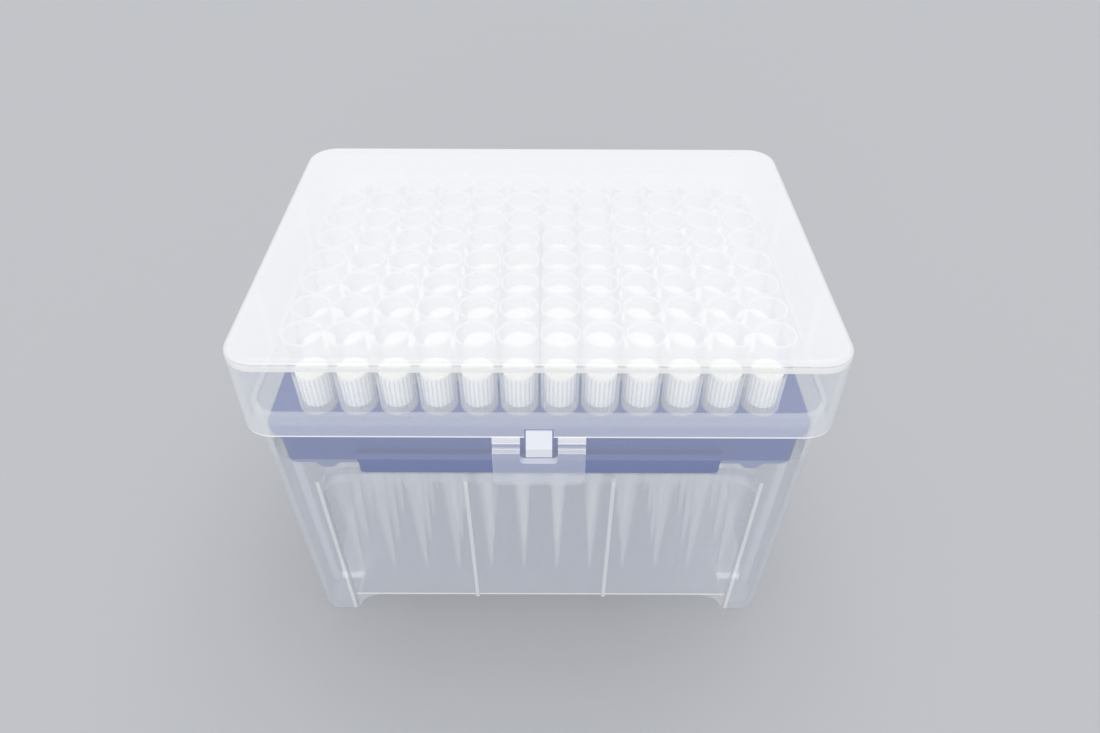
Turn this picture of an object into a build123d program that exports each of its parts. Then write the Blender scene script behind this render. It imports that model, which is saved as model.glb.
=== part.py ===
"""Hinged rack of 96 filter pipette tips: tub, tip deck, tips, filters, lid and latch flap.

Millimetres, +Z up. The origin is on the table under the middle of the box, X runs along
the long side, and the latch faces -Y.
"""

import os
from math import cos, radians, sin, tan

from build123d import *

# ---------------------------------------------------------------- driving dimensions
# tip grid
PITCH = 9.0
COLUMNS = 12
ROWS = 8
END_MARGIN = 7.6  # from the outer tips' cells to the tub's rim, along X
SIDE_MARGIN = 7.3  # and along Y

# tips
TIP_LENGTH = 83.0
COLLAR_LENGTH = 20.2
COLLAR_GAP = 0.4  # between two collars
COLLAR_TAPER = 0.08
SHOULDER = 0.5  # the step from collar to cone that sits on the deck
MOUTH_WALL = 0.42
SEAT_WALL = 0.4  # at the filter's lower end
ORIFICE_RADIUS = 0.35
POINT_RADIUS = 0.75

# filters
FILTER_DEPTH = 10.0  # top face below the tip's mouth
FILTER_LENGTH = 8.5
FILTER_GAP = 0.05

# tub
TUB_WALL = 1.3
TUB_DRAFT = 1.6
TUB_CORNER = 7.0
FLOOR_HEIGHT = 5.5
POINT_CLEARANCE = 1.8  # from the floor to the tips' points
RIM_BAND = 22.0  # the plain wall above the recessed panels
RIM_EDGE = 0.4
LEG_LENGTH = 9.4  # a leg's size along X at the foot
LEG_WIDTH = 10.0  # and along Y
SOLE_EDGE = 2.7
ARCH_RADIUS = 7.5
PANEL_RECESS = 2.0
PANEL_CORNER = 6.5
PANEL_RIB_SPACING = 34.0
PANEL_RIB_WIDTH = 1.0
PANEL_RIB_DEPTH = 0.6

# deck
DECK_DROP = 7.6  # top face below the tub's rim
DECK_THICKNESS = 1.6
DECK_CLEARANCE = 0.4
HOLE_CLEARANCE = 0.15
SKIRT_THICKNESS = 1.2
SKIRT_INSET = 2.0  # from the tub's inner wall
SKIRT_LIFT = 1.6  # of the skirt's edge above the shelf, between its feet
SKIRT_FOOT = 2.4
SKIRT_FOOT_OFFSET = 7.7  # from a label panel's end to the middle of a foot
SHELF_GAP = 0.05  # under the deck's feet
LABEL_LENGTH = 81.0
LABEL_DROP = 6.85  # top edge below the deck's top face
LABEL_THICKNESS = 1.4
LABEL_CORNER = 1.0
END_PANEL_LENGTH = 46.0

# lid
LID_GAP = 0.5  # between its wall and the tub's rim
LID_OVERLAP = 4.8  # how far it reaches down past the rim
LID_HEADROOM = 1.4  # above the tips' mouths
LID_WALL = 1.4
LID_TOP = 2.0
LID_DRAFT = 1.0
LID_EDGE = 1.5
LIP_EDGE = 0.4
SEAT_RIB_WIDTH = 1.2
SEAT_RIB_SPACING = 40.0  # of the pair on each end wall
SEAT_GAP = 0.05

# rear hinge: two clips on the lid, each round a pin between two ears of the tub
HINGE_SPACING = 73.0
HINGE_DROP = 2.4  # pin axis below the lid's lower edge
HINGE_REACH = 2.3  # pin axis behind the tub's rim
PIN_RADIUS = 1.05
PIN_CLEARANCE = 0.1
CLIP_WALL = 0.85
CLIP_WIDTH = 9.0
CLIP_MOUTH = 1.6  # the slot that snaps over the pin
CLIP_MOUTH_ANGLE = -112.0  # this and the next angles are seen from +X, from +Y towards +Z
CLIP_ARM_ANGLE = 70.0
EAR_TOP_ANGLE = 120.0
EAR_NOSE_ANGLE = -40.0
EAR_WIDTH = 2.4
EAR_CLEARANCE = 0.3
EAR_DEPTH = 5.8
LID_STOP = 112.0  # lid angle at which the clip's heel meets the tub
HEEL_DIP = 24.0  # below the pin's level, where it meets it
HEEL_ROOT = 1.8
HEEL_SPREAD = 34.0

# latch: a flap on thin webs, and the catch that its window closes over
CATCH_WIDTH = 5.6
CATCH_REACH = 2.7  # in front of the tub's rim
CATCH_TOP = 2.7  # root of the ramp above the lid's lower edge
CATCH_NOSE = 2.55  # upper edge of its short face below the lid's lower edge
CATCH_DEPTH = 5.0  # underside below the lid's lower edge
NOTCH_CLEARANCE = 0.3
NOTCH_HEIGHT = 2.8
FLAP_WIDTH = 19.8
FLAP_THICKNESS = 1.5
FLAP_HEIGHT = 10.4
FLAP_CHAMFER = 1.2
FLAP_EDGE = 0.3
FLAP_GAP = 0.1  # between flap and catch
WINDOW_WIDTH = 8.0
WINDOW_CORNER = 1.0
LEDGE_CLEARANCE = 0.15  # under the catch
STRIP_HEIGHT = 0.8
STRIP_PROUD = 0.9
STRIP_LAP = 0.5  # of strip and clip arms, up the lid's wall
WEB_HEIGHT = 1.3
WEB_THICKNESS = 0.35

PAST = 1.0  # how far a cutting solid runs past the face it cuts

# ---------------------------------------------------------------- what follows from them
RIM_LENGTH = COLUMNS * PITCH + 2 * END_MARGIN
RIM_WIDTH = ROWS * PITCH + 2 * SIDE_MARGIN
POINT_Z = FLOOR_HEIGHT + TUB_WALL + POINT_CLEARANCE
MOUTH_Z = POINT_Z + TIP_LENGTH
DECK_TOP = MOUTH_Z - COLLAR_LENGTH
TUB_HEIGHT = DECK_TOP + DECK_DROP
PANEL_HEIGHT = TUB_HEIGHT - RIM_BAND
SHELF_Z = PANEL_HEIGHT + TUB_WALL  # the step inside the tub that the deck stands on
DECK_FOOT = SHELF_Z + SHELF_GAP

COLLAR_RADIUS = (PITCH - COLLAR_GAP) / 2
COLLAR_FOOT_RADIUS = COLLAR_RADIUS - COLLAR_TAPER
CONE_RADIUS = COLLAR_FOOT_RADIUS - SHOULDER
MOUTH_RADIUS = COLLAR_RADIUS - MOUTH_WALL
SEAT_RADIUS = CONE_RADIUS - SEAT_WALL
FILTER_TOP_Z = MOUTH_Z - FILTER_DEPTH
FILTER_FOOT_Z = FILTER_TOP_Z - FILTER_LENGTH

LID_LENGTH = RIM_LENGTH + 2 * (LID_GAP + LID_WALL)
LID_WIDTH = RIM_WIDTH + 2 * (LID_GAP + LID_WALL)
LID_CORNER = TUB_CORNER + LID_GAP
LIP_Z = TUB_HEIGHT - LID_OVERLAP
TOP_Z = MOUTH_Z + LID_HEADROOM + LID_TOP

CLIP_RADIUS = PIN_RADIUS + PIN_CLEARANCE + CLIP_WALL
HINGE_Y = RIM_WIDTH / 2 + HINGE_REACH
HINGE_Z = LIP_Z - HINGE_DROP
HINGES = (-HINGE_SPACING / 2, HINGE_SPACING / 2)
CATCH_Y = -(RIM_WIDTH / 2 + CATCH_REACH)
FLAP_BACK_Y = CATCH_Y - FLAP_GAP
FLAP_TOP_Z = LIP_Z - STRIP_HEIGHT - WEB_HEIGHT
LEDGE_Z = LIP_Z - CATCH_DEPTH - LEDGE_CLEARANCE


def tub_half(size, z, inset=0.0):
    """Half of the tub's outer length or width at height z, less an inset."""
    return size / 2 - (TUB_HEIGHT - z) * tan(radians(TUB_DRAFT)) - inset


def tub_corner(z, inset=0.0):
    """The tub's plan corner radius at height z: the draft shrinks it with the walls."""
    return TUB_CORNER - (TUB_HEIGHT - z) * tan(radians(TUB_DRAFT)) - inset


def lid_half(size, z, inset=0.0):
    """Half of the lid's outer length or width at height z, less an inset."""
    return size / 2 - (z - LIP_Z) * tan(radians(LID_DRAFT)) - inset


def block(x0, x1, y0, y1, z0, z1):
    """A box between two corners."""
    return Pos((x0 + x1) / 2, (y0 + y1) / 2, (z0 + z1) / 2) * Box(x1 - x0, y1 - y0, z1 - z0)


# ---------------------------------------------------------------- tub
def tub_block(inset, z0, z1):
    """The tub's drafted outer block, drawn in by inset, between two heights."""
    foot = RectangleRounded(
        2 * tub_half(RIM_LENGTH, z0, inset),
        2 * tub_half(RIM_WIDTH, z0, inset),
        tub_corner(z0, inset),
    )
    return extrude(Plane.XY.offset(z0) * foot, z1 - z0, taper=-TUB_DRAFT)


def doorway(half_width, top, corner, along):
    """A prism with rounded upper corners that runs through the tub along X or Y."""
    height = top + 2 * corner  # its foot is below the table
    plane = Plane.XZ if along == "Y" else Plane.YZ
    outline = Pos(0, top - height / 2) * RectangleRounded(2 * half_width, height, corner)
    return extrude(plane * outline, RIM_LENGTH, both=True)


def tub_form(inset):
    """The tub as a solid lump, drawn in by inset: legs, recessed panels and raised floor."""
    leg_x = tub_half(RIM_LENGTH, 0) - LEG_LENGTH + inset
    leg_y = tub_half(RIM_WIDTH, 0) - LEG_WIDTH + inset
    panel_top = PANEL_HEIGHT + inset
    core = tub_block(inset + PANEL_RECESS, -PAST, panel_top + PAST)
    form = tub_block(inset, inset, TUB_HEIGHT + (PAST if inset else 0))
    form = fillet(form.faces().sort_by(Axis.Z)[0].edges(), SOLE_EDGE - inset)
    for half_width, along in ((leg_x, "Y"), (leg_y, "X")):
        form -= doorway(half_width, panel_top, PANEL_CORNER + inset, along) - core
    for half_width, along in ((leg_x, "Y"), (leg_y, "X")):
        form -= doorway(half_width, FLOOR_HEIGHT + inset, ARCH_RADIUS + inset, along)
    return form


def panel_ribs():
    """Upright ribs that stand proud of the front and back panels."""
    sheet = tub_block(PANEL_RECESS - PANEL_RIB_DEPTH, FLOOR_HEIGHT, PANEL_HEIGHT)
    sheet -= tub_block(PANEL_RECESS + TUB_WALL / 2, FLOOR_HEIGHT - PAST, PANEL_HEIGHT + PAST)
    half = PANEL_RIB_WIDTH / 2
    slabs = [
        block(x - half, x + half, -RIM_WIDTH, RIM_WIDTH, 0, TUB_HEIGHT)
        for x in (-PANEL_RIB_SPACING / 2, PANEL_RIB_SPACING / 2)
    ]
    return [rib for slab in slabs for rib in (slab & sheet).solids()]


def catch():
    """The hook on the front wall: a ramp, a short face and a flat underside."""
    under = LIP_Z - CATCH_DEPTH
    root = -tub_half(RIM_WIDTH, under, TUB_WALL / 2)
    outline = Polyline(
        (root, LIP_Z + CATCH_TOP),
        (CATCH_Y, LIP_Z - CATCH_NOSE),
        (CATCH_Y, under),
        (root, under),
        close=True,
    )
    return extrude(Plane.YZ * make_face(outline), CATCH_WIDTH / 2, both=True)


def from_pin(radius, angle):
    """A point in the YZ plane at a distance and an angle from the hinge pin's axis."""
    return (HINGE_Y + radius * cos(radians(angle)), HINGE_Z + radius * sin(radians(angle)))


def hinge_ears(x):
    """Two ears and the pin between them, at one hinge."""
    foot = HINGE_Z - EAR_DEPTH
    root = tub_half(RIM_WIDTH, foot, TUB_WALL / 2)
    top = from_pin(CLIP_RADIUS, EAR_TOP_ANGLE)
    arm = Polyline(
        (root, foot),
        from_pin(CLIP_RADIUS, EAR_NOSE_ANGLE),
        (HINGE_Y, HINGE_Z),
        top,
        (root, top[1]),
        close=True,
    )
    ear = Plane.YZ * (make_face(arm) + Pos(HINGE_Y, HINGE_Z) * Circle(CLIP_RADIUS))
    inner = CLIP_WIDTH / 2 + EAR_CLEARANCE
    ears = extrude(Pos(x + inner) * ear, EAR_WIDTH)
    ears += extrude(Pos(x - inner - EAR_WIDTH) * ear, EAR_WIDTH)
    pin = Pos(x, HINGE_Y, HINGE_Z) * Rot(Y=90) * Cylinder(PIN_RADIUS, 2 * inner + EAR_WIDTH)
    return ears + pin


def base_tub():
    tub = tub_form(0) - tub_form(TUB_WALL)
    tub = fillet(tub.faces().sort_by(Axis.Z)[-1].edges(), RIM_EDGE)
    tub += panel_ribs()
    tub += catch()
    for x in HINGES:
        tub += hinge_ears(x)
    return tub


# ---------------------------------------------------------------- lid and latch
def lid_block(inset, z0, z1):
    """The lid's drafted outer block, drawn in by inset, between two heights."""
    foot = RectangleRounded(
        2 * lid_half(LID_LENGTH, z0, inset),
        2 * lid_half(LID_WIDTH, z0, inset),
        LID_CORNER - inset,
    )
    return extrude(Plane.XY.offset(z0) * foot, z1 - z0, taper=LID_DRAFT)


def seat_ribs():
    """Ribs inside the lid that stand on the tub's rim: two at the back, two on each end."""
    low = TUB_HEIGHT + SEAT_GAP
    high = TOP_Z - LID_TOP / 2
    half = SEAT_RIB_WIDTH / 2
    reach_x = tub_half(RIM_LENGTH, TUB_HEIGHT, TUB_WALL)
    reach_y = tub_half(RIM_WIDTH, TUB_HEIGHT, TUB_WALL)
    slabs = [block(x - half, x + half, reach_y, LID_WIDTH / 2, low, high) for x in HINGES]
    for y in (-SEAT_RIB_SPACING / 2, SEAT_RIB_SPACING / 2):
        slabs.append(block(reach_x, LID_LENGTH / 2, y - half, y + half, low, high))
        slabs.append(block(-LID_LENGTH / 2, -reach_x, y - half, y + half, low, high))
    return [slab & lid_block(LID_WALL / 2, LIP_Z, TOP_Z) for slab in slabs]


def latch_sides():
    """The X spans beside the window, where strip, webs and flap arms run."""
    return [(-FLAP_WIDTH / 2, -WINDOW_WIDTH / 2), (WINDOW_WIDTH / 2, FLAP_WIDTH / 2)]


def hinge_clip(x):
    """A clip of the lid round one pin: its arm up to the skirt, its mouth and its stop heel."""
    arm = Polyline(
        (lid_half(LID_WIDTH, LIP_Z, LID_WALL), LIP_Z + STRIP_LAP),
        (lid_half(LID_WIDTH, LIP_Z, LID_WALL), HINGE_Z),
        (HINGE_Y, HINGE_Z),
        from_pin(CLIP_RADIUS, CLIP_ARM_ANGLE),
        (lid_half(LID_WIDTH, LIP_Z), LIP_Z + STRIP_LAP),
        close=True,
    )
    to_wall = HINGE_Y - tub_half(RIM_WIDTH, HINGE_Z)
    heel_angle = LID_STOP - 180 + HEEL_DIP
    heel = Polyline(
        (HINGE_Y, HINGE_Z),
        from_pin(HEEL_ROOT, heel_angle - HEEL_SPREAD),
        from_pin(to_wall / cos(radians(HEEL_DIP)), heel_angle),
        from_pin(HEEL_ROOT, heel_angle + HEEL_SPREAD),
        close=True,
    )
    centre = Pos(HINGE_Y, HINGE_Z)
    slot = Rectangle(CLIP_RADIUS + PAST, CLIP_MOUTH, align=(Align.MIN, Align.CENTER))
    ring = make_face(arm) + make_face(heel) + centre * Circle(CLIP_RADIUS)
    ring -= centre * Circle(PIN_RADIUS + PIN_CLEARANCE)
    ring -= centre * Rot(Z=CLIP_MOUTH_ANGLE) * slot
    return extrude(Pos(x) * (Plane.YZ * ring), CLIP_WIDTH / 2, both=True)


def lid():
    shell = lid_block(0, LIP_Z, TOP_Z)
    shell = fillet(shell.faces().sort_by(Axis.Z)[-1].edges(), LID_EDGE)
    shell -= lid_block(LID_WALL, LIP_Z, TOP_Z - LID_TOP)
    shell = fillet(shell.faces().sort_by(Axis.Z)[0].edges(), LIP_EDGE)
    for rib in seat_ribs():
        shell += rib
    front = -lid_half(LID_WIDTH, LIP_Z)
    back = front + LID_WALL
    notch = CATCH_WIDTH / 2 + NOTCH_CLEARANCE
    shell -= block(-notch, notch, front - PAST, back + PAST, LIP_Z - PAST, LIP_Z + NOTCH_HEIGHT)
    for x0, x1 in latch_sides():
        shell += block(x0, x1, front - STRIP_PROUD, back, LIP_Z - STRIP_HEIGHT, LIP_Z + STRIP_LAP)
    for x in HINGES:
        shell += hinge_clip(x)
    return shell


def latch_web():
    """Thin webs that bend, from the lid's strip to the top of the flap."""
    top_y = -lid_half(LID_WIDTH, LIP_Z) - STRIP_PROUD + WEB_THICKNESS
    foot_y = FLAP_BACK_Y - WEB_THICKNESS / 2
    outline = Polyline(
        (top_y, LIP_Z - STRIP_HEIGHT),
        (top_y - WEB_THICKNESS, LIP_Z - STRIP_HEIGHT),
        (foot_y - WEB_THICKNESS, FLAP_TOP_Z),
        (foot_y, FLAP_TOP_Z),
        close=True,
    )
    web = Plane.YZ * make_face(outline)
    return [extrude(Pos(x0) * web, x1 - x0) for x0, x1 in latch_sides()]


def latch_flap():
    """The flap: a plate with cut lower corners and a window that is open at the top."""
    plate = Pos(0, FLAP_TOP_Z - FLAP_HEIGHT / 2) * Rectangle(FLAP_WIDTH, FLAP_HEIGHT)
    plate = chamfer(plate.vertices().group_by(Axis.Y)[0], FLAP_CHAMFER)
    window_height = 2 * (FLAP_TOP_Z - LEDGE_Z)
    plate -= Pos(0, FLAP_TOP_Z) * RectangleRounded(WINDOW_WIDTH, window_height, WINDOW_CORNER)
    flap = extrude(Plane.XZ.offset(-FLAP_BACK_Y) * plate, FLAP_THICKNESS)
    return fillet(flap.faces().sort_by(Axis.Y)[0].edges(), FLAP_EDGE)


# ---------------------------------------------------------------- tips, filters and deck
def tip():
    """One tip, on the Z axis: a tall collar that stands on the deck, and a long cone."""
    outline = Polyline(
        (ORIFICE_RADIUS, POINT_Z),
        (POINT_RADIUS, POINT_Z),
        (CONE_RADIUS, DECK_TOP),
        (COLLAR_FOOT_RADIUS, DECK_TOP),
        (COLLAR_RADIUS, MOUTH_Z),
        (MOUTH_RADIUS, MOUTH_Z),
        (SEAT_RADIUS, FILTER_FOOT_Z),
        close=True,
    )
    return revolve(Plane.XZ * make_face(outline), Axis.Z)


def filter_plug():
    """One filter, on the Z axis, a little clear of the tapered bore all round."""
    taper = (MOUTH_RADIUS - SEAT_RADIUS) / (MOUTH_Z - FILTER_FOOT_Z)
    foot = SEAT_RADIUS - FILTER_GAP
    top = foot + taper * FILTER_LENGTH
    low_end = (Align.CENTER, Align.CENTER, Align.MIN)
    return Pos(0, 0, FILTER_FOOT_Z) * Cone(foot, top, FILTER_LENGTH, align=low_end)


def column_places(column):
    """The places of one column's tips, counted from the left."""
    x = (column - (COLUMNS - 1) / 2) * PITCH
    return [Pos(x, (row - (ROWS - 1) / 2) * PITCH) for row in range(ROWS)]


def label_panel(length, offset):
    """One panel of the deck that stands on the tub's shelf, facing -Y at that offset."""
    top = DECK_TOP - LABEL_DROP
    height = top - DECK_FOOT
    plate = Pos(0, top - height / 2) * Rectangle(length, height)
    plate = fillet(plate.vertices().group_by(Axis.Y)[0], LABEL_CORNER)
    panel = extrude(Plane.XZ.offset(offset - LABEL_THICKNESS) * plate, LABEL_THICKNESS)
    skirt = -offset + SKIRT_INSET + SKIRT_THICKNESS
    return panel + block(-length / 2, length / 2, -offset, skirt, top - SKIRT_THICKNESS, top)


def skirt_feet(label_length, along):
    """Prisms that leave a flared foot of the skirt beyond each end of a label panel."""
    edge = DECK_FOOT + SKIRT_LIFT
    wide = SKIRT_FOOT / 2 + SKIRT_LIFT
    plane = Plane.XZ if along == "Y" else Plane.YZ
    outline = Polyline(
        (-SKIRT_FOOT / 2, DECK_FOOT), (SKIRT_FOOT / 2, DECK_FOOT), (wide, edge), (-wide, edge), close=True
    )
    place = label_length / 2 + SKIRT_FOOT_OFFSET
    prism = extrude(plane * make_face(outline), RIM_LENGTH, both=True)
    step = Vector(1, 0, 0) if along == "Y" else Vector(0, 1, 0)
    return [Pos(step * place) * prism, Pos(step * -place) * prism]


def skirt_ring(z0, z1):
    """The deck's skirt wall between two heights."""
    inset = TUB_WALL + SKIRT_INSET
    return tub_block(inset, z0, z1) - tub_block(inset + SKIRT_THICKNESS, z0, z1)


def tip_deck():
    inset = TUB_WALL + DECK_CLEARANCE
    underside = DECK_TOP - DECK_THICKNESS
    deck = tub_block(inset, underside, DECK_TOP)
    hole = Pos(0, 0, DECK_TOP) * Cylinder(CONE_RADIUS + HOLE_CLEARANCE, 4 * DECK_THICKNESS)
    deck -= [place * hole for place in GridLocations(PITCH, PITCH, COLUMNS, ROWS)]
    edge = DECK_FOOT + SKIRT_LIFT
    deck += skirt_ring(edge, underside)
    low_ring = skirt_ring(DECK_FOOT, edge)
    for foot in skirt_feet(LABEL_LENGTH, "Y") + skirt_feet(END_PANEL_LENGTH, "X"):
        deck += foot & low_ring
    front = tub_half(RIM_WIDTH, SHELF_Z, inset)
    side = tub_half(RIM_LENGTH, SHELF_Z, inset)
    for angle in (0, 180):
        deck += Rot(Z=angle) * label_panel(LABEL_LENGTH, front)
        deck += Rot(Z=angle + 90) * label_panel(END_PANEL_LENGTH, side)
    return deck


# ---------------------------------------------------------------- output
def save(name, shape):
    solids = shape if isinstance(shape, list) else [shape]
    export_step(Compound(children=[s for item in solids for s in item.solids()]), f"parts/{name}.step")


os.makedirs("parts", exist_ok=True)
save("base_tub", base_tub())
save("tip_deck", tip_deck())
save("lid", lid())
save("latch_web", latch_web())
save("latch_flap", latch_flap())
one_tip = tip()
one_filter = filter_plug()
for column in range(COLUMNS):
    places = column_places(column)
    save(f"tip_column_{column + 1:02d}", [place * one_tip for place in places])
    save(f"filter_column_{column + 1:02d}", [place * one_filter for place in places])
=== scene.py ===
# %% [markdown]
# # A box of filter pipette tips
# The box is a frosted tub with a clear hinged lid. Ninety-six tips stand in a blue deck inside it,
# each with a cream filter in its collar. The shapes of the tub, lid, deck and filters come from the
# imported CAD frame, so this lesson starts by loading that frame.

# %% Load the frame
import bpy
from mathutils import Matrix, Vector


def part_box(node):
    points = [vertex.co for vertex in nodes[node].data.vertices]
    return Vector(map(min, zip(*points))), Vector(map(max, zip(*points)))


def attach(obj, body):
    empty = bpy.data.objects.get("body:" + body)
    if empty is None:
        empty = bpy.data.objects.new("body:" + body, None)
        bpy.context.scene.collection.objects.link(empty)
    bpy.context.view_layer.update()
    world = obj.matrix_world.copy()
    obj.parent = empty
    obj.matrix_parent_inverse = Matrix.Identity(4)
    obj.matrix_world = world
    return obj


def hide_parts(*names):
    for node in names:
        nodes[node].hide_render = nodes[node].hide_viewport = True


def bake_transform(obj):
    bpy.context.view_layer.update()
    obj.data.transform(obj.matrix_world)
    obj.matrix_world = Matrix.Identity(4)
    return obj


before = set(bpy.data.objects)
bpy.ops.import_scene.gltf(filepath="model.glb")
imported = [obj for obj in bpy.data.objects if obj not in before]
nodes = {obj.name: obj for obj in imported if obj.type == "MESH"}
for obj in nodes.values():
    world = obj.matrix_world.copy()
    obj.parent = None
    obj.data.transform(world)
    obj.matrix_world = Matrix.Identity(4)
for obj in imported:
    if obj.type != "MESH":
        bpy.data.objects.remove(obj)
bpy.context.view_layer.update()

from math import pi, radians

import bpy
from mathutils import Matrix, Vector

MM = 0.001
print("nodes in the frame:", len(nodes))

# %% [markdown]
# ## Heights
# The finishes change with height: at the rim, at the label on the deck, at the mouths of the tips.
# Most of those heights are read from the frame's pieces, so that a finish stays in its place when
# the model is made again with other sizes.

# %% Read the heights that the finishes need
STRIP_HEIGHT = 0.8 * MM  # of the lid's strip, between the webs of the latch and the lid's lip
deck_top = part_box("tip_deck")[1].z
lip_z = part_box("latch_web")[1].z + STRIP_HEIGHT
top_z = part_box("lid")[1].z
rim_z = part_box("base_tub")[1].z
tip_low, tip_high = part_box("tip_column_01")
point_z, mouth_z = tip_low.z, tip_high.z
collar_radius = (tip_high.x - tip_low.x) / 2
filter_foot, filter_top = (corner.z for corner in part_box("filter_column_01"))
print("lip, rim, top in mm:", [round(z / MM, 2) for z in (lip_z, rim_z, top_z)])
print("collar radius in mm:", round(collar_radius / MM, 3))

# %% [markdown]
# ## The camera
# Seen from close by and looking down at 42 degrees, the box shows strong perspective, so its walls
# lean in towards the table. A short lens close to it gives that; a long lens from far away would
# make the walls look parallel.

# %% Camera
CAMERA_PLACE = (0.00193, -0.16051, 0.19851)
LENS, SENSOR_WIDTH, NEAREST = 26.29, 36.0, 0.01
LOOK_DOWN, TURN, ROLL = radians(42.017), radians(0.156), radians(0.303)
camera = bpy.data.objects.new("camera", bpy.data.cameras.new("camera"))
bpy.context.scene.collection.objects.link(camera)
camera.data.lens = LENS
camera.data.sensor_width = SENSOR_WIDTH
camera.data.clip_start = NEAREST
aim = Matrix.Rotation(-TURN, 4, "Z") @ Matrix.Rotation(pi / 2 - LOOK_DOWN, 4, "X")
aim = aim @ Matrix.Rotation(ROLL, 4, "Z")
camera.matrix_world = Matrix.Translation(CAMERA_PLACE) @ aim
bpy.context.scene.camera = camera
print("camera at", [round(v, 4) for v in camera.location])

# %% [markdown]
# ## Floor and light
# Frosted plastic is shown best by wide soft light. Two broad suns, one above and one in front, give
# it evenly all over the floor, which lamps close to the box wouldn't, and a pale world fills the
# sides. The floor is a plain pale disc, matt so that it mirrors no lamp.

# %% Small helpers for node trees
def add_node(tree, kind, **settings):
    """A new node with its settings; a setting that is not a property is an input's value."""
    node = tree.nodes.new(kind)
    for name, value in settings.items():
        if hasattr(node, name):
            setattr(node, name, value)
        else:
            node.inputs[name.replace("_", " ")].default_value = value
    return node


def new_material(name):
    """A material with its tree and its Principled shader."""
    material = bpy.data.materials.new(name)
    material.use_nodes = True
    return material, material.node_tree, material.node_tree.nodes["Principled BSDF"]


# %% Floor
FLOOR_RADIUS = 20.0
floor_material, tree, shader = new_material("pale_floor")
shader.inputs["Base Color"].default_value = (0.50, 0.505, 0.52, 1)
shader.inputs["Roughness"].default_value = 0.95
shader.inputs["Specular IOR Level"].default_value = 0.1
bpy.ops.mesh.primitive_circle_add(vertices=96, radius=FLOOR_RADIUS, fill_type="NGON")
floor = bpy.context.object
floor.name = "floor"
floor.data.materials.append(floor_material)
print("floor across:", floor.dimensions.x)

# %% World and lamps
world = bpy.data.worlds.new("soft_room")
bpy.context.scene.world = world
world.use_nodes = True
world.node_tree.nodes["Background"].inputs["Color"].default_value = (0.93, 0.96, 1.0, 1)
world.node_tree.nodes["Background"].inputs["Strength"].default_value = 0.55


def broad_sun(name, towards, spread, strength):
    """A sun that shines from a direction, as soft as its spread in degrees."""
    data = bpy.data.lights.new(name, "SUN")
    data.energy, data.angle = strength, radians(spread)
    lamp = bpy.data.objects.new(name, data)
    bpy.context.scene.collection.objects.link(lamp)
    lamp.rotation_euler = (-Vector(towards)).to_track_quat("-Z", "Y").to_euler()


broad_sun("ceiling_light", (0.1, 0.25, 0.9), 60, 1.1)
broad_sun("front_light", (-0.1, -1.0, 0.5), 50, 1.6)
bpy.context.scene.view_settings.view_transform = "Standard"

# %% [markdown]
# ## Frost, an effect that the clear pieces share
# Polypropylene is cloudy right through: part of the light goes straight on and part is scattered.
# Volume scattering would be true to life but slow and noisy, so the shader only says how much of a
# face hides what is behind it. The haze is not even: it rises where the plastic is thick, and the
# finishes also use it for painted highlight and painted shade lines along edges, which on a box lie at
# a certain height. So this group takes a haze and gives it another value in one band of height, and a
# finish strings several of them together.

# %% Helpers for sums in a node tree
def maths(tree, operation, *values, clamp=False):
    """The output of a Math node on sockets or numbers."""
    node = tree.nodes.new("ShaderNodeMath")
    node.operation, node.use_clamp = operation, clamp
    for socket, value in zip(node.inputs, values):
        if isinstance(value, (int, float)):
            socket.default_value = value
        else:
            tree.links.new(value, socket)
    return node.outputs[0]


def product(tree, first, *others):
    """Several values multiplied; of masks, where all of them are."""
    for value in others:
        first = maths(tree, "MULTIPLY", first, value)
    return first


def largest(tree, first, *others):
    """The largest of several values; of masks, where any of them is."""
    for value in others:
        first = maths(tree, "MAXIMUM", first, value)
    return first


def opposite(tree, mask):
    """A mask that is 1 where the given one is 0."""
    return maths(tree, "SUBTRACT", 1.0, mask)


def past(tree, value, level, softness):
    """0 below a level and 1 above it, rising over a softness."""
    return maths(tree, "DIVIDE", maths(tree, "SUBTRACT", value, level), softness, clamp=True)


def blend_values(tree, factor, first, second):
    """A value that goes from the first to the second as the factor goes from 0 to 1."""
    node = tree.nodes.new("ShaderNodeMix")
    node.data_type = "FLOAT"
    for name, value in (("Factor", factor), ("A", first), ("B", second)):
        if isinstance(value, (int, float)):
            node.inputs[name].default_value = value
        else:
            tree.links.new(value, node.inputs[name])
    return node.outputs["Result"]


# %% Helpers for places on a piece
LEVEL, LEVEL_RISE = 0.9, 0.09  # a face is level where the Z part of its normal is past this
ALONG = 0.6  # and it looks along X or Y where that part of its normal is past this


def axis_value(tree, kind, axis):
    """An object-space place or normal along one axis."""
    place = add_node(tree, "ShaderNodeTexCoord")
    parts = add_node(tree, "ShaderNodeSeparateXYZ")
    tree.links.new(place.outputs[kind], parts.inputs[0])
    return parts.outputs[axis]


def axis_size(tree, kind, axis):
    """The same without its sign, so that both sides of the box are treated alike."""
    return maths(tree, "ABSOLUTE", axis_value(tree, kind, axis))


def level_faces(tree):
    """1 on floors, plates and soles, and 0 on walls."""
    return past(tree, axis_size(tree, "Normal", "Z"), LEVEL, LEVEL_RISE)


def looks_along(tree, axis, rise):
    """1 on walls that look along an axis, either way, and 0 on the others."""
    return past(tree, axis_size(tree, "Normal", axis), ALONG, rise)


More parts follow.
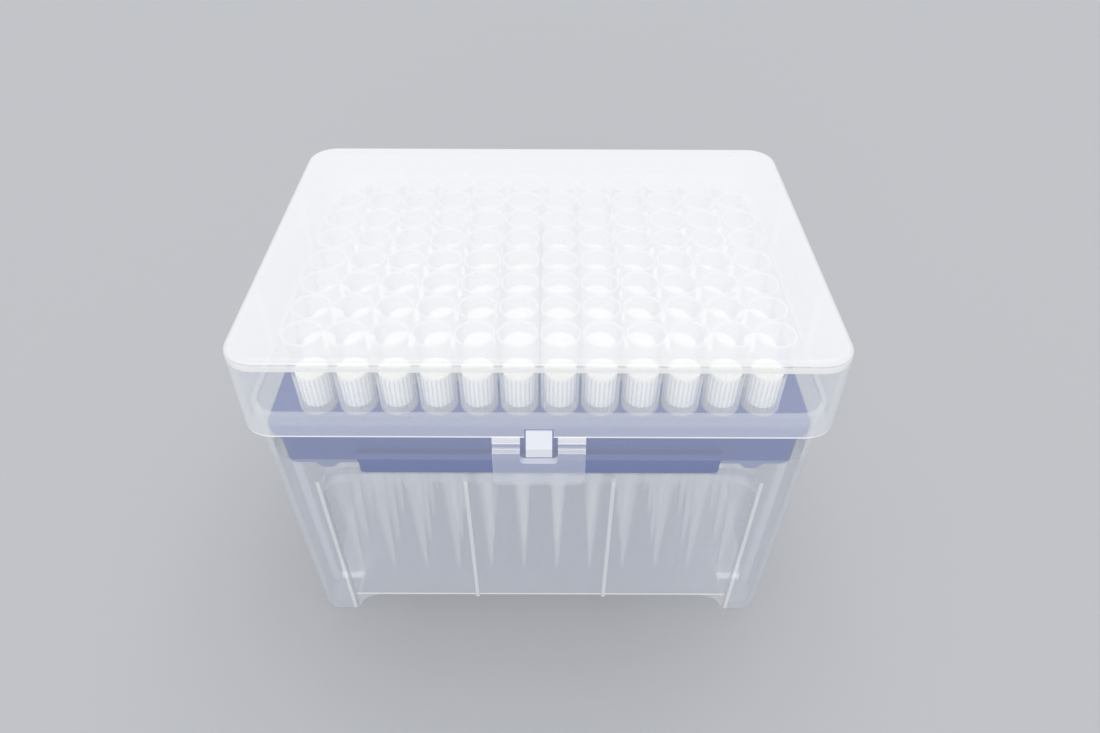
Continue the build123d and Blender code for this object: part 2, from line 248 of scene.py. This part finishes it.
# %% Group helper
def new_group(name, kind, inputs, outputs):
    """A node group with its sockets, and its input and output nodes. An input is given by the
    number it starts with, or by its socket type if that isn't a number."""
    group = bpy.data.node_groups.new(name, kind)
    for label, value in inputs.items():
        if isinstance(value, str):
            group.interface.new_socket(label, in_out="INPUT", socket_type=value)
            continue
        socket_type = "NodeSocketInt" if isinstance(value, int) else "NodeSocketFloat"
        socket = group.interface.new_socket(label, in_out="INPUT", socket_type=socket_type)
        socket.default_value = value
    for label, socket_type in outputs.items():
        group.interface.new_socket(label, in_out="OUTPUT", socket_type=socket_type)
    return group, add_node(group, "NodeGroupInput"), add_node(group, "NodeGroupOutput")


# %% Frost group
frost, given, result = new_group("frost", "ShaderNodeTree", {
    "Haze": 0.3, "Band haze": 0.9, "From": 0.0, "To": 1.0, "Softness": 0.3 * MM, "Walls only": 1.0,
}, {"Haze": "NodeSocketFloat", "Band": "NodeSocketFloat"})
given = given.outputs
height = axis_value(frost, "Object", "Z")
above = past(frost, height, given["From"], given["Softness"])
below = past(frost, product(frost, height, -1.0), product(frost, given["To"], -1.0), given["Softness"])
on_wall = opposite(frost, product(frost, level_faces(frost), given["Walls only"]))
band = product(frost, above, below, on_wall)
haze = blend_values(frost, band, given["Haze"], given["Band haze"])
frost.links.new(haze, result.inputs["Haze"])
frost.links.new(band, result.inputs["Band"])
print("frost has", len(frost.nodes), "nodes")

# %% [markdown]
# ## Moulded grain
# A mould leaves a faint unevenness on the plastic, so its shine is never perfectly even. This group
# gives a roughness that drifts a little and a normal with a very shallow bump.

# %% Grain group
grain, given, result = new_group("moulded_grain", "ShaderNodeTree", {
    "Scale": 900.0, "Depth": 0.02, "Roughness": 0.35, "Drift": 0.08,
}, {"Roughness": "NodeSocketFloat", "Normal": "NodeSocketVector"})
given = given.outputs
place = add_node(grain, "ShaderNodeTexCoord")
fine = add_node(grain, "ShaderNodeTexNoise", Detail=2.0)
grain.links.new(place.outputs["Object"], fine.inputs["Vector"])
grain.links.new(given["Scale"], fine.inputs["Scale"])
bump = add_node(grain, "ShaderNodeBump", Distance=0.2 * MM)
grain.links.new(given["Depth"], bump.inputs["Strength"])
grain.links.new(fine.outputs["Fac"], bump.inputs["Height"])
slow = add_node(grain, "ShaderNodeTexNoise", Scale=120.0, Detail=3.0)
grain.links.new(place.outputs["Object"], slow.inputs["Vector"])
drift = maths(grain, "MULTIPLY_ADD", slow.outputs["Fac"], given["Drift"], given["Roughness"])
grain.links.new(drift, result.inputs["Roughness"])
grain.links.new(bump.outputs["Normal"], result.inputs["Normal"])
print("grain has", len(grain.nodes), "nodes")


# %% Join the groups to a shader
BELOW_ALL, ABOVE_ALL = -1.0, 1.0  # heights in metres that are past every piece
ALL_FACES, WALLS = 0.0, 1.0


def place_group(tree, group, **values):
    """A group node in a material, with its values."""
    node = tree.nodes.new("ShaderNodeGroup")
    node.node_tree = group
    for name, value in values.items():
        node.inputs[name.replace("_", " ")].default_value = value
    return node


def add_grain(tree, shader, **values):
    """Places the grain group and joins it to a shader."""
    node = place_group(tree, grain, **values)
    tree.links.new(node.outputs["Roughness"], shader.inputs["Roughness"])
    tree.links.new(node.outputs["Normal"], shader.inputs["Normal"])


def bands(tree, haze, *rows):
    """Strings frost groups together. A row is a band's haze, the heights where it starts and ends,
    its softness in mm, and the faces it is on. Gives the haze, and a mask of all the bands."""
    mask = 0.0
    for band_haze, low, high, softness, faces in rows:
        node = place_group(tree, frost, Band_haze=band_haze, From=low, To=high,
                           Softness=softness * MM, Walls_only=faces)
        if isinstance(haze, float):
            node.inputs["Haze"].default_value = haze
        else:
            tree.links.new(haze, node.inputs["Haze"])
        haze = node.outputs["Haze"]
        mask = largest(tree, mask, product(tree, node.outputs["Band"], band_haze))
    return haze, mask


def tint(tree, mask, plain, edge):
    """A colour that goes from a plain one to that of the edges; either may come from a node."""
    node = tree.nodes.new("ShaderNodeMix")
    node.data_type = "RGBA"
    tree.links.new(mask, node.inputs["Factor"])
    for name, colour in (("A", plain), ("B", edge)):
        if isinstance(colour, tuple):
            node.inputs[name].default_value = (*colour, 1)
        else:
            tree.links.new(colour, node.inputs[name])
    return node.outputs["Result"]


# %% [markdown]
# ## From haze to alpha
# A haze becomes the shader's alpha here, with what a camera would see of a real wall. A wall seen
# at a slant is thicker and hides more. Each wall is two faces, so the face that looks away is left
# clear. Most of what the haze stops goes on inwards in real plastic, so lamps and bounced light
# find the wall clearer. And a line of sight ends at its seventh face, before the renderer gives up
# on it and paints black.

# %% Hiding helper
SLANT_BLEND, LAST_FACE = 0.35, 6.5


def hide(tree, shader, haze, slant, lets_in=0.8):
    """Alpha from a haze, more at a slant, and less by a share for light that comes in."""
    facing = add_node(tree, "ShaderNodeLayerWeight", Blend=SLANT_BLEND)
    alpha = maths(tree, "MULTIPLY_ADD", facing.outputs["Facing"], slant, haze, clamp=True)
    path = add_node(tree, "ShaderNodeLightPath").outputs
    passing = largest(tree, path["Is Shadow Ray"], path["Is Diffuse Ray"])
    share = maths(tree, "MULTIPLY_ADD", passing, -lets_in, 1.0)
    side = add_node(tree, "ShaderNodeNewGeometry")
    alpha = product(tree, alpha, share, opposite(tree, side.outputs["Backfacing"]))
    deep = maths(tree, "GREATER_THAN", path["Transparent Depth"], LAST_FACE)
    alpha = largest(tree, alpha, product(tree, deep, path["Is Camera Ray"]))
    tree.links.new(alpha, shader.inputs["Alpha"])


# %% [markdown]
# ## The lid
# The lid's walls are thin and clear, while its plate is 2 mm thick and veils the tips. Where the
# walls meet the plate they are hazier and whiter for its thickness, with a painted highlight along
# the top edge and a painted shade line, a band with less haze, just under it. There the walls also
# take a greyer colour as painted shade. The lip at the bottom is a painted highlight band, with more
# haze and a whiter colour. The strip and the hinge clips stand outside the walls, and are found by
# how far out they are.

# %% Lid plastic
PLASTIC_IOR = 1.49
# the third colour is a painted shade: the greyer walls just under the plate's edge
WHITE, CLEAR, EDGE_SHADE_GREY = (0.945, 0.945, 0.95), (0.84, 0.86, 0.90), (0.82, 0.82, 0.815)
WALL_HAZE, PLATE_HAZE, CLIP_HAZE = 0.24, 0.65, 0.62
PLATE_FOOT = top_z - 2.5 * MM  # just under the lid's plate
STRIP_Y = 45.35 * MM  # only the latch strip and the hinge clips stand further out than this
lid_plastic, tree, shader = new_material("clear_lid_plastic")
shader.inputs["IOR"].default_value = PLASTIC_IOR
plate = level_faces(tree)
haze, mask = bands(tree, blend_values(tree, plate, WALL_HAZE, PLATE_HAZE),
                   # the walls along the plate, hazier and whiter for its thickness
                   (0.84, PLATE_FOOT, ABOVE_ALL, 0.2, WALLS),
                   # painted shade: a thin line of less haze under the top edge, where the dark inside shows
                   (0.35, top_z - 1.1 * MM, top_z - 0.6 * MM, 0.3, WALLS),
                   # painted highlight: the glint along the top edge
                   (0.80, top_z - 0.5 * MM, ABOVE_ALL, 0.2, WALLS),
                   # painted highlight: the bright line along the lip
                   (0.97, BELOW_ALL, lip_z + 0.7 * MM, 0.2, ALL_FACES))
thick = past(tree, axis_size(tree, "Object", "Y"), STRIP_Y, 0.2 * MM)
hide(tree, shader, blend_values(tree, thick, haze, CLIP_HAZE), slant=0.4)
colour = tint(tree, largest(tree, mask, thick, plate), CLEAR, WHITE)
# painted shade: the walls just under the plate's edge are greyed
plate_band = past(tree, axis_size(tree, "Object", "Z"), PLATE_FOOT, 0.2 * MM)
plate_edge_shade = maths(tree, "SUBTRACT", plate_band, plate, clamp=True)
tree.links.new(tint(tree, plate_edge_shade, colour, EDGE_SHADE_GREY), shader.inputs["Base Color"])
add_grain(tree, shader, Roughness=0.2, Drift=0.1, Depth=0.02)
print("lid plastic:", len(tree.nodes), "nodes")

# %% [markdown]
# ## The latch
# The flap and its webs are the lid's plastic in a thin plate. What shows it is its outline, so the
# faces that don't look forward are hazier and whiter than the two that do. The whiter colour is a
# painted highlight.

# %% Latch plastic
FLAP_TINT, FLAP_HAZE, FLAP_EDGE_HAZE = (0.74, 0.77, 0.84), 0.30, 0.58
flap_plastic, tree, shader = new_material("clear_flap_plastic")
shader.inputs["IOR"].default_value = PLASTIC_IOR
# the faces that don't look forward: hazier, and whiter as a painted highlight
outline_highlight = opposite(tree, looks_along(tree, "Y", rise=0.3))
hide(tree, shader, blend_values(tree, outline_highlight, FLAP_HAZE, FLAP_EDGE_HAZE), slant=0.1)
tree.links.new(tint(tree, outline_highlight, FLAP_TINT, CLEAR), shader.inputs["Base Color"])
add_grain(tree, shader, Roughness=0.25, Drift=0.1, Depth=0.03)
print("flap plastic:", len(tree.nodes), "nodes")

# %% [markdown]
# ## The tub
# The tub is thicker and more frosted than the lid. Frost hides what is far behind it and shows what
# is right behind it, so the wall is hazy at the bottom, where the cones stand back from it, and
# clearer at the deck and at the labels, which nearly touch it. The ribs, the edges of the legs and
# the sides of the recesses get pale lines of painted highlight. Each of those is a mask made from the
# place and the normal of a face.

# %% Places on the tub
floor_z = 5.5 * MM
panel_top = 57.0 * MM
label_top = deck_top - 6.85 * MM
LEG_X, LEG_Y = 50.0 * MM, 31.1 * MM  # the legs stand outside these, the recesses lie between them
LEG_LINE = 0.5 * MM  # from there to the middle of the pale line on a leg's edge
RIB_X, RIB_HALF = 17.0 * MM, 0.35 * MM
PANEL_Y = 37.0 * MM
LABEL_X, LABEL_Y, LABEL_FOOT = 39.9 * MM, 22.4 * MM, 59.7 * MM
CATCH_Y = 43.55 * MM  # only the catch and the hinge ears stand further out than this
LINE_HALF, LINE_SOFTNESS = 0.3 * MM, 0.3 * MM
print("label from", round(LABEL_FOOT / MM, 2), "to", round(label_top / MM, 2), "mm")


# %% Masks of the tub
def line_at(tree, value, level, half):
    """1 within half a line's width of a level, else 0."""
    away = maths(tree, "ABSOLUTE", maths(tree, "SUBTRACT", value, level))
    return opposite(tree, past(tree, away, half, LINE_SOFTNESS))


def within(tree, value, level, softness):
    """1 below a level and 0 above it."""
    return opposite(tree, past(tree, value, level, softness))


tub_plastic, tree, shader = new_material("frosted_tub_plastic")
x_size, y_size, height = (axis_size(tree, "Object", axis) for axis in "XYZ")
x_way, y_way = (looks_along(tree, axis, rise=0.2) for axis in "XY")
under_panel_top = past(tree, product(tree, height, -1.0), -panel_top, 0.3 * MM)
recess = largest(tree, product(tree, within(tree, x_size, LEG_X, 0.1 * MM), y_way),
                 product(tree, within(tree, y_size, LEG_Y, 0.1 * MM), x_way))
# the ribs and the edges of the legs, where pale lines of painted highlight go
rib = product(tree, line_at(tree, x_size, RIB_X, RIB_HALF), past(tree, y_size, PANEL_Y, MM))
leg_x_line = product(tree, line_at(tree, x_size, LEG_X + LEG_LINE, LINE_HALF), y_way)
leg_y_line = product(tree, line_at(tree, y_size, LEG_Y + LEG_LINE, LINE_HALF), x_way)
highlight_lines = product(tree, largest(tree, rib, leg_x_line, leg_y_line), under_panel_top)
# the sides of the recesses, painted white and hazier as painted light where they lie in shade
cheek_x = product(tree, line_at(tree, x_size, LEG_X, LINE_HALF), x_way)
cheek_y = product(tree, line_at(tree, y_size, LEG_Y, LINE_HALF), y_way)
cheek = product(tree, largest(tree, cheek_x, cheek_y), under_panel_top)
on_long_label = product(tree, y_way, within(tree, x_size, LABEL_X, 0.3 * MM))
on_end_label = product(tree, x_way, within(tree, y_size, LABEL_Y, 0.3 * MM))
over_label_foot = past(tree, height, LABEL_FOOT, 0.5 * MM)
label = product(tree, largest(tree, on_long_label, on_end_label), over_label_foot)
thick = past(tree, y_size, CATCH_Y, 0.2 * MM)
at_front = maths(tree, "LESS_THAN", axis_value(tree, "Object", "Y"), 0.0)
print("tub masks:", len(tree.nodes), "nodes")

# %% Tub plastic
FROST_TINT = (0.56, 0.59, 0.65)
TUB_HAZE, LABEL_HAZE, LINE_HAZE, CHEEK_HAZE = 0.50, 0.24, 0.6, 0.75
EAR_HAZE, CATCH_HAZE = 0.6, 0.95
HIGHLIGHT_WHITE, THICK_WHITE = 0.6, 0.4  # how white the pale lines and the thick parts become
shader.inputs["IOR"].default_value = PLASTIC_IOR
haze, mask = bands(tree, blend_values(tree, label, TUB_HAZE, LABEL_HAZE),
                   (0.28, label_top, ABOVE_ALL, 0.5, ALL_FACES),
                   (0.38, rim_z - 3.8 * MM, ABOVE_ALL, 1.0, ALL_FACES),
                   # painted highlight: the pale bottom edge of the feet
                   (0.92, BELOW_ALL, 0.8 * MM, 0.3, ALL_FACES))
low_haze, low_mask = bands(tree, haze,
                           (0.38, BELOW_ALL, floor_z, 0.2, ALL_FACES),
                           # the floor plate's edge seen through the walls, whiter for its thickness and as a
                           # painted highlight line
                           (0.85, floor_z, floor_z + 0.8 * MM, 0.3, WALLS))
haze = blend_values(tree, recess, haze, low_haze)
haze = blend_values(tree, highlight_lines, haze, LINE_HAZE)
haze = blend_values(tree, cheek, haze, CHEEK_HAZE)
haze = blend_values(tree, thick, haze, blend_values(tree, at_front, EAR_HAZE, CATCH_HAZE))
hide(tree, shader, haze, slant=0.15)
# whiter where light is painted, on the pale lines, the recess sides and the height bands, and where the
# catch and the ears are thick
highlight_and_thick_white = largest(tree, product(tree, highlight_lines, HIGHLIGHT_WHITE), cheek, mask,
                     product(tree, low_mask, recess), product(tree, thick, THICK_WHITE))
tree.links.new(tint(tree, highlight_and_thick_white, FROST_TINT, WHITE), shader.inputs["Base Color"])
add_grain(tree, shader, Roughness=0.38, Drift=0.1, Depth=0.05)
print("tub plastic:", len(tree.nodes), "nodes")

# %% [markdown]
# ## Deck, tips and filters
# The deck is solid blue plastic and needs no haze. A tip is clear above its filter and cloudier in
# the grip below, where it is thicker, with a pale ring at its mouth. The grooves between its ribs
# are darker, a painted shade: the lathe tree further down writes how deep a point lies into the
# attribute "groove", and the finish reads it. A filter is sintered from grains, so it is rough and
# opaque, but light gets into it.

# %% Deck plastic
deck_plastic, tree, shader = new_material("blue_deck_plastic")
shader.inputs["Base Color"].default_value = (0.022, 0.062, 0.29, 1)
add_grain(tree, shader, Roughness=0.4, Drift=0.1, Depth=0.05)
print("deck plastic:", len(tree.nodes), "nodes")

# %% Tip plastic
# the second colour is the painted shade in the grooves between the ribs
TIP_TINT, GROOVE_SHADE = (0.93, 0.94, 0.95), (0.50, 0.55, 0.64)
GRIP_HAZE, GROOVE_HAZE = 0.36, 0.2
CONE_SLANT, GRIP_SLANT = 0.1, 0.4  # the grip has the sum of both
tip_plastic, tree, shader = new_material("natural_tip_plastic")
groove = add_node(tree, "ShaderNodeAttribute", attribute_name="groove").outputs["Fac"]
haze, mask = bands(tree, GRIP_HAZE,
                   (0.20, filter_top, ABOVE_ALL, 0.5, ALL_FACES),
                   (0.60, mouth_z - 0.4 * MM, ABOVE_ALL, 0.2, ALL_FACES),
                   (0.30, BELOW_ALL, deck_top, 0.3, ALL_FACES))
haze = maths(tree, "MULTIPLY_ADD", groove, GROOVE_HAZE, haze)
height = axis_size(tree, "Object", "Z")
over_deck = past(tree, height, deck_top, 0.3 * MM)
in_grip = maths(tree, "SUBTRACT", over_deck, past(tree, height, filter_top, 0.5 * MM))
slant = maths(tree, "MULTIPLY_ADD", in_grip, GRIP_SLANT, CONE_SLANT)
hide(tree, shader, haze, slant, lets_in=0.9)
colour = tint(tree, mask, TIP_TINT, WHITE)
tree.links.new(tint(tree, groove, colour, GROOVE_SHADE), shader.inputs["Base Color"])
add_grain(tree, shader, Roughness=0.3, Drift=0.1, Depth=0.0)
print("tip plastic:", len(tree.nodes), "nodes")

# %% Filter
filter_plastic, tree, shader = new_material("porous_filter")
shader.inputs["Base Color"].default_value = (0.97, 0.95, 0.87, 1)
hide(tree, shader, haze=1.0, slant=0.0, lets_in=0.5)
add_grain(tree, shader, Roughness=0.85, Drift=0.05, Depth=0.5, Scale=2500.0)
print("filter plastic:", len(tree.nodes), "nodes")

# %% Put the finishes on the CAD pieces
finishes = {"base_tub": tub_plastic, "tip_deck": deck_plastic, "lid": lid_plastic,
            "latch_flap": flap_plastic, "latch_web": flap_plastic}
for name, piece in nodes.items():
    column_finish = tip_plastic if name.startswith("tip_column") else filter_plastic
    piece.data.materials[0] = finishes.get(name, column_finish)
print("pieces finished:", len(nodes))

# %% [markdown]
# ## Ribbed tips
# A tip is a lathe shape, and its collar has fine upright ribs for grip. A profile is swept round a
# circle by Geometry Nodes, grooves are pressed into the collar, and one tip is set on every point
# of a grid, so that all ninety-six follow from a few named sizes.

# %% Sizes of a tip
COLUMNS, ROWS, PITCH = 12, 8, 9.0 * MM
RIB_COUNT, RIB_DEPTH, POINTS_PER_RIB = 26, 0.2 * MM, 3
RIB_END = 0.4 * MM  # from an end of the ribs to the profile's points beside it
ORIFICE_RADIUS, POINT_RADIUS, MIDDLE_RADIUS = 0.35 * MM, 0.75 * MM, 2.25 * MM
MOUTH_WALL, SEAT_WALL = 0.42 * MM, 0.4 * MM
CONE_INSET, FOOT_INSET = 0.58 * MM, 0.08 * MM  # how much less than the mouth's radius it is there
LOW_INSET, HIGH_INSET = 0.04 * MM, 0.03 * MM  # the same just below and above the filter's top
cone_radius = collar_radius - CONE_INSET
foot_radius = collar_radius - FOOT_INSET
profile = [
    (ORIFICE_RADIUS, point_z), (POINT_RADIUS, point_z), (MIDDLE_RADIUS, (point_z + deck_top) / 2),
    (cone_radius, deck_top), (foot_radius, deck_top), (foot_radius, deck_top + RIB_END),
    (collar_radius - LOW_INSET, filter_top - RIB_END), (collar_radius - HIGH_INSET, filter_top + RIB_END),
    (collar_radius, mouth_z), (collar_radius - MOUTH_WALL, mouth_z), (cone_radius - SEAT_WALL, filter_foot),
]
print("profile points:", len(profile))

# %% [markdown]
# The tree takes the profile as its starting mesh. Its grooves are a cosine round the tip, kept to
# the collar's outer face between the deck and the filter's top.

# %% Ribbed lathe tree
SWEEP_RADIUS = 2.0 * MM  # of the circle that the profile runs round; any size does
OUTER_REACH = 0.3 * MM  # how far inside the collar's radius a point still is on its outer face
rib_inputs = {
    "Ribs": RIB_COUNT, "Points per rib": POINTS_PER_RIB, "Rib depth": RIB_DEPTH,
    "Columns": COLUMNS, "Rows": ROWS, "Pitch": PITCH,
}
lathe, group_in, group_out = new_group(
    "ribbed_tips", "GeometryNodeTree",
    {"Geometry": "NodeSocketGeometry", **rib_inputs, "Material": "NodeSocketMaterial"},
    {"Geometry": "NodeSocketGeometry"})
given = group_in.outputs
ring = add_node(lathe, "GeometryNodeCurvePrimitiveCircle", Radius=SWEEP_RADIUS)
lathe.links.new(product(lathe, given["Ribs"], given["Points per rib"]), ring.inputs["Resolution"])
outline = add_node(lathe, "GeometryNodeMeshToCurve")
lathe.links.new(given["Geometry"], outline.inputs["Mesh"])
sweep = add_node(lathe, "GeometryNodeCurveToMesh")
lathe.links.new(ring.outputs["Curve"], sweep.inputs["Curve"])
lathe.links.new(outline.outputs["Curve"], sweep.inputs["Profile Curve"])
outward = add_node(lathe, "GeometryNodeFlipFaces")
lathe.links.new(sweep.outputs["Mesh"], outward.inputs["Mesh"])
print("tree nodes so far:", len(lathe.nodes))

# %% Grooves of the collar
spot = add_node(lathe, "GeometryNodeInputPosition")
axes = add_node(lathe, "ShaderNodeSeparateXYZ")
lathe.links.new(spot.outputs[0], axes.inputs[0])
angle = maths(lathe, "ARCTAN2", axes.outputs["Y"], axes.outputs["X"])
wave = maths(lathe, "COSINE", product(lathe, angle, given["Ribs"]))
flat = add_node(lathe, "ShaderNodeCombineXYZ")
for axis in "XY":
    lathe.links.new(axes.outputs[axis], flat.inputs[axis])
size = add_node(lathe, "ShaderNodeVectorMath", operation="LENGTH")
lathe.links.new(flat.outputs[0], size.inputs[0])
outer = maths(lathe, "GREATER_THAN", size.outputs["Value"], collar_radius - OUTER_REACH)
under_mouth = maths(lathe, "LESS_THAN", axes.outputs["Z"], filter_top)
over_deck = maths(lathe, "GREATER_THAN", axes.outputs["Z"], deck_top + RIB_END / 2)
groove = product(lathe, largest(lathe, wave, 0.0), outer, under_mouth, over_deck)
marked = add_node(lathe, "GeometryNodeStoreNamedAttribute", data_type="FLOAT", domain="POINT", Name="groove")
lathe.links.new(outward.outputs["Mesh"], marked.inputs["Geometry"])
lathe.links.new(groove, marked.inputs["Value"])
away = add_node(lathe, "ShaderNodeVectorMath", operation="NORMALIZE")
lathe.links.new(flat.outputs[0], away.inputs[0])
move = add_node(lathe, "ShaderNodeVectorMath", operation="SCALE")
lathe.links.new(away.outputs["Vector"], move.inputs[0])
lathe.links.new(product(lathe, groove, given["Rib depth"], -1.0), move.inputs["Scale"])
ribbed = add_node(lathe, "GeometryNodeSetPosition")
lathe.links.new(marked.outputs["Geometry"], ribbed.inputs["Geometry"])
lathe.links.new(move.outputs["Vector"], ribbed.inputs["Offset"])
print("tree nodes so far:", len(lathe.nodes))

# %% A tip on every place of the grid
grid = add_node(lathe, "GeometryNodeMeshGrid")
for side, count in (("X", "Columns"), ("Y", "Rows")):
    gaps = maths(lathe, "SUBTRACT", given[count], 1)
    lathe.links.new(product(lathe, gaps, given["Pitch"]), grid.inputs["Size " + side])
    lathe.links.new(given[count], grid.inputs["Vertices " + side])
stand = add_node(lathe, "GeometryNodeInstanceOnPoints")
lathe.links.new(grid.outputs["Mesh"], stand.inputs["Points"])
lathe.links.new(ribbed.outputs["Geometry"], stand.inputs["Instance"])
real = add_node(lathe, "GeometryNodeRealizeInstances")
lathe.links.new(stand.outputs["Instances"], real.inputs["Geometry"])
coat = add_node(lathe, "GeometryNodeSetMaterial")
lathe.links.new(real.outputs["Geometry"], coat.inputs["Geometry"])
lathe.links.new(given["Material"], coat.inputs["Material"])
lathe.links.new(coat.outputs["Geometry"], group_out.inputs["Geometry"])
print("tree nodes:", len(lathe.nodes))


# %% Turn the tree into one plain mesh
SHARP_FROM = radians(50)  # an edge that bends more than this stays sharp


def grown(name, tree, start, values):
    """A new piece with the plain mesh that a tree makes from a starting mesh."""
    seed = bpy.data.objects.new(name + "_seed", start)
    bpy.context.scene.collection.objects.link(seed)
    modifier = seed.modifiers.new("grow", "NODES")
    modifier.node_group = tree
    for item in tree.interface.items_tree:
        if item.name in values and item.in_out == "INPUT":
            modifier[item.identifier] = values[item.name]
    bpy.context.view_layer.update()
    plain = bpy.data.meshes.new_from_object(seed.evaluated_get(bpy.context.evaluated_depsgraph_get()))
    plain.name = name
    bpy.data.objects.remove(seed)
    return new_piece(name, plain)


def new_piece(name, mesh):
    """A piece at the origin, smooth but for its edges."""
    mesh.polygons.foreach_set("use_smooth", [True] * len(mesh.polygons))
    mesh.set_sharp_from_angle(angle=SHARP_FROM)
    piece = bpy.data.objects.new(name, mesh)
    bpy.context.scene.collection.objects.link(piece)
    return piece


# %% The ninety-six tips
start = bpy.data.meshes.new("tip_profile")
count = len(profile)
start.from_pydata([(radius - SWEEP_RADIUS, -z, 0) for radius, z in profile],
                  [(i, (i + 1) % count) for i in range(count)], [])
tips = grown("tips", lathe, start, {**rib_inputs, "Material": tip_plastic})
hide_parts(*[n for n in nodes if n.startswith("tip_column")])
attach(tips, "rack")
tips.visible_shadow = tips.visible_diffuse = False  # clear tips hardly shade one another
low, high = (Vector(c) for c in (tips.bound_box[0], tips.bound_box[6]))
print("tips:", len(tips.data.polygons), "faces")
print("from", [round(v / MM, 2) for v in low], "to", [round(v / MM, 2) for v in high])

# %% [markdown]
# ## Web of the latch
# The flap hangs on two thin webs that are moulded in one with the lid and bend when it is opened.
# Each is swept from a short curved profile, so that it catches the light as a bent sheet does.

# %% Webs
WEB_WALL, WEB_BOW, WEB_STEPS = 0.35 * MM, 0.22 * MM, 8
WINDOW_HALF = 4.0 * MM  # the webs leave this free on either side of the middle
web_low, web_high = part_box("latch_web")


def web_profile():
    """Points of the web's outline in the YZ plane: down its front, then up its back."""
    foot_front = web_low.y
    foot_back = foot_front + WEB_WALL
    top_back = web_high.y
    top_front = top_back - WEB_WALL
    front, back = [], []
    for step in range(WEB_STEPS + 1):
        part = step / WEB_STEPS
        bow = WEB_BOW * 4 * part * (1 - part)
        z = web_high.z + (web_low.z - web_high.z) * part
        front.append((top_front + (foot_front - top_front) * part + bow, z))
        back.append((top_back + (foot_back - top_back) * part + bow, z))
    return front + back[::-1]


print("web from z", round(web_high.z / MM, 2), "down to", round(web_low.z / MM, 2))

# %% Web mesh
outline = web_profile()
count = len(outline)
points, faces = [], []
for x0, x1 in ((web_low.x, -WINDOW_HALF), (WINDOW_HALF, web_high.x)):
    first = len(points)
    points += [(x, y, z) for x in (x0, x1) for y, z in outline]
    for i in range(count):
        j = (i + 1) % count
        faces.append((first + i, first + j, first + count + j, first + count + i))
    faces.append(tuple(first + i for i in range(count))[::-1])
    faces.append(tuple(first + count + i for i in range(count)))
web_mesh = bpy.data.meshes.new("latch_webs")
web_mesh.from_pydata(points, [], faces)
web_mesh.materials.append(flap_plastic)
web = new_piece("latch_webs", web_mesh)
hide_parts("latch_web")
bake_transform(web)
print("web faces:", len(web_mesh.polygons))
